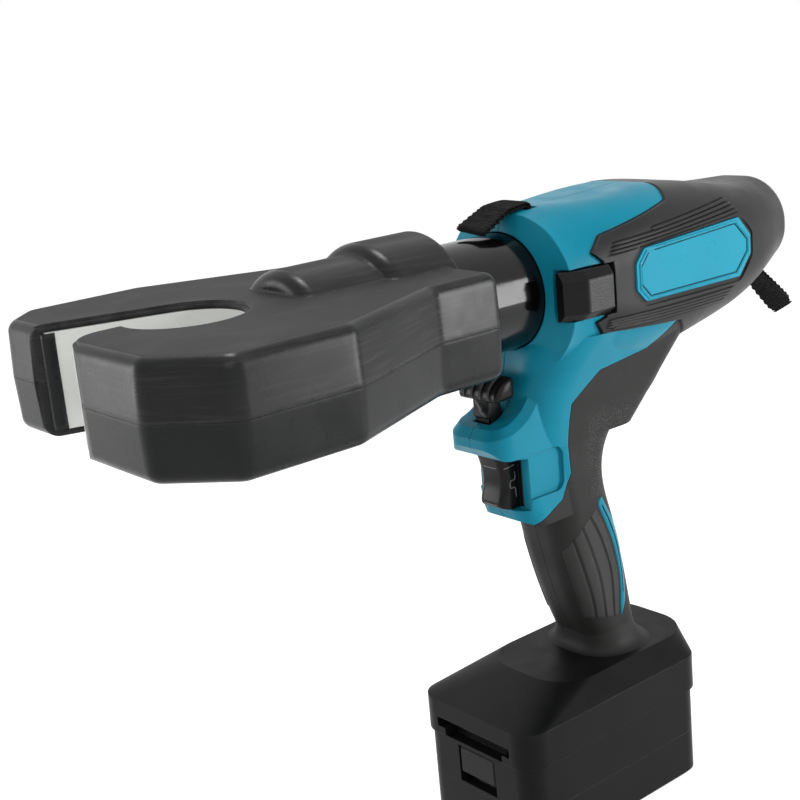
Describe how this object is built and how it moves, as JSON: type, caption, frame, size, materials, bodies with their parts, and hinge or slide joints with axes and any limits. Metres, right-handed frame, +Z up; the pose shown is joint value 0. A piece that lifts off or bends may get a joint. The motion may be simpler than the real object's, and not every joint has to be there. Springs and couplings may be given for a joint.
{
  "type": "battery crimping tool",
  "caption": "Pistol-grip hydraulic crimping tool with a swivelling C-shaped head, driven ram, trigger, release lever and slide-on battery.",
  "frame": {"origin": "middle of the battery's flat underside", "axes": "+X points along the tool to the head, +Y to the user's left, +Z up; the tool axis runs along X at z 0.255"},
  "size_m": [0.4145, 0.154, 0.2933],
  "materials": {
    "head_cover": "satin black moulded rubber",
    "yoke": "pale forged and sand-blasted alloy",
    "die": "ground steel",
    "barrel": "gloss black lacquer",
    "steel": "turned steel",
    "spring": "oiled spring steel",
    "housing": "fine-grained teal plastic",
    "rear_cover": "fine-grained black plastic",
    "grip": "soft black rubber with leather grain",
    "control": "satin black plastic",
    "webbing": "woven black webbing",
    "battery": "black plastic",
    "alloy": "die-cast alloy",
    "bronze": "sintered bronze",
    "board": "green circuit board",
    "cells": "wrapped cells"
  },
  "bodies": {
    "main": {"housing_left": "housing", "housing_right": "housing", "grip_left": "grip", "grip_right": "grip", "rear_cover": "rear_cover", "badge": "housing", "trigger_switch": "control", "lever_pin": "steel", "swivel_ring": "bronze", "pump_block": "alloy", "gear_case": "alloy", "motor_stator": "steel", "rear_bearing": "steel", "foot": "rear_cover", "control_board": "board", "strap_front": "webbing", "strap_rear": "webbing"},
    "head": {"head_cover_upper": "head_cover", "head_cover_lower": "head_cover", "head_yoke": "yoke", "anvil_die": "die", "cylinder_barrel": "barrel", "return_spring": "spring"},
    "ram": {"ram_piston": "steel", "ram_die": "die"},
    "rotor": {"motor_rotor": "steel", "sun_gear": "steel"},
    "carrier": {"planet_carrier": "steel"},
    "planet_1": {"planet_gear_1": "steel"},
    "planet_2": {"planet_gear_2": "steel"},
    "planet_3": {"planet_gear_3": "steel"},
    "trigger": {"trigger": "control"},
    "lever": {"release_lever": "control"},
    "button_left": {"side_button_left": "control"},
    "button_right": {"side_button_right": "control"},
    "battery": {"battery_case": "battery", "battery_lid": "battery", "cell_pack": "cells"},
    "latch": {"battery_latch": "control"}
  },
  "joints": [
    {"name": "head_swivel", "type": "hinge", "parent": "main", "child": "head", "pos_m": [0.019, 0, 0.255], "axis": [1, 0, 0], "range_deg": [-175, 175]},
    {"name": "ram_stroke", "type": "slide", "parent": "head", "child": "ram", "axis": [1, 0, 0], "range_m": [0, 0.03], "stiffness_N_per_m": 600, "springref_m": -0.02, "deforming": ["return_spring"]},
    {"name": "rotor_spin", "type": "hinge", "parent": "main", "child": "rotor", "pos_m": [0.019, 0, 0.255], "axis": [1, 0, 0], "continuous": true},
    {"name": "carrier_spin", "type": "hinge", "parent": "main", "child": "carrier", "pos_m": [0.019, 0, 0.255], "axis": [1, 0, 0], "continuous": true},
    {"name": "planet_1_spin", "type": "hinge", "parent": "carrier", "child": "planet_1", "pos_m": [-0.079, 0.0135, 0.255], "axis": [1, 0, 0], "continuous": true},
    {"name": "planet_2_spin", "type": "hinge", "parent": "carrier", "child": "planet_2", "pos_m": [-0.079, -0.00675, 0.26669], "axis": [1, 0, 0], "continuous": true},
    {"name": "planet_3_spin", "type": "hinge", "parent": "carrier", "child": "planet_3", "pos_m": [-0.079, -0.00675, 0.24331], "axis": [1, 0, 0], "continuous": true},
    {"name": "trigger_pull", "type": "slide", "parent": "main", "child": "trigger", "axis": [-1, 0, 0], "range_m": [0, 0.006], "stiffness_N_per_m": 500, "springref_m": -0.006},
    {"name": "release_press", "type": "hinge", "parent": "main", "child": "lever", "pos_m": [0.034, 0, 0.195], "axis": [0, -1, 0], "range_deg": [0, 12], "stiffness_Nm_per_rad": 0.5, "springref_deg": -11.46},
    {"name": "button_left_press", "type": "slide", "parent": "main", "child": "button_left", "axis": [0, -1, 0], "range_m": [0, 0.003], "stiffness_N_per_m": 800, "springref_m": -0.003},
    {"name": "button_right_press", "type": "slide", "parent": "main", "child": "button_right", "axis": [0, 1, 0], "range_m": [0, 0.003], "stiffness_N_per_m": 800, "springref_m": -0.003},
    {"name": "battery_slide", "type": "slide", "parent": "main", "child": "battery", "axis": [1, 0, 0], "range_m": [0, 0.12]},
    {"name": "latch_press", "type": "slide", "parent": "battery", "child": "latch", "axis": [0, 0, -1], "range_m": [0, 0.004], "stiffness_N_per_m": 800, "springref_m": -0.004}
  ],
  "couplings": [
    {"joint": "carrier_spin", "follows": "rotor_spin", "ratio": 0.25},
    {"joint": "planet_1_spin", "follows": "rotor_spin", "ratio": -0.75},
    {"joint": "planet_2_spin", "follows": "rotor_spin", "ratio": -0.75},
    {"joint": "planet_3_spin", "follows": "rotor_spin", "ratio": -0.75}
  ]
}
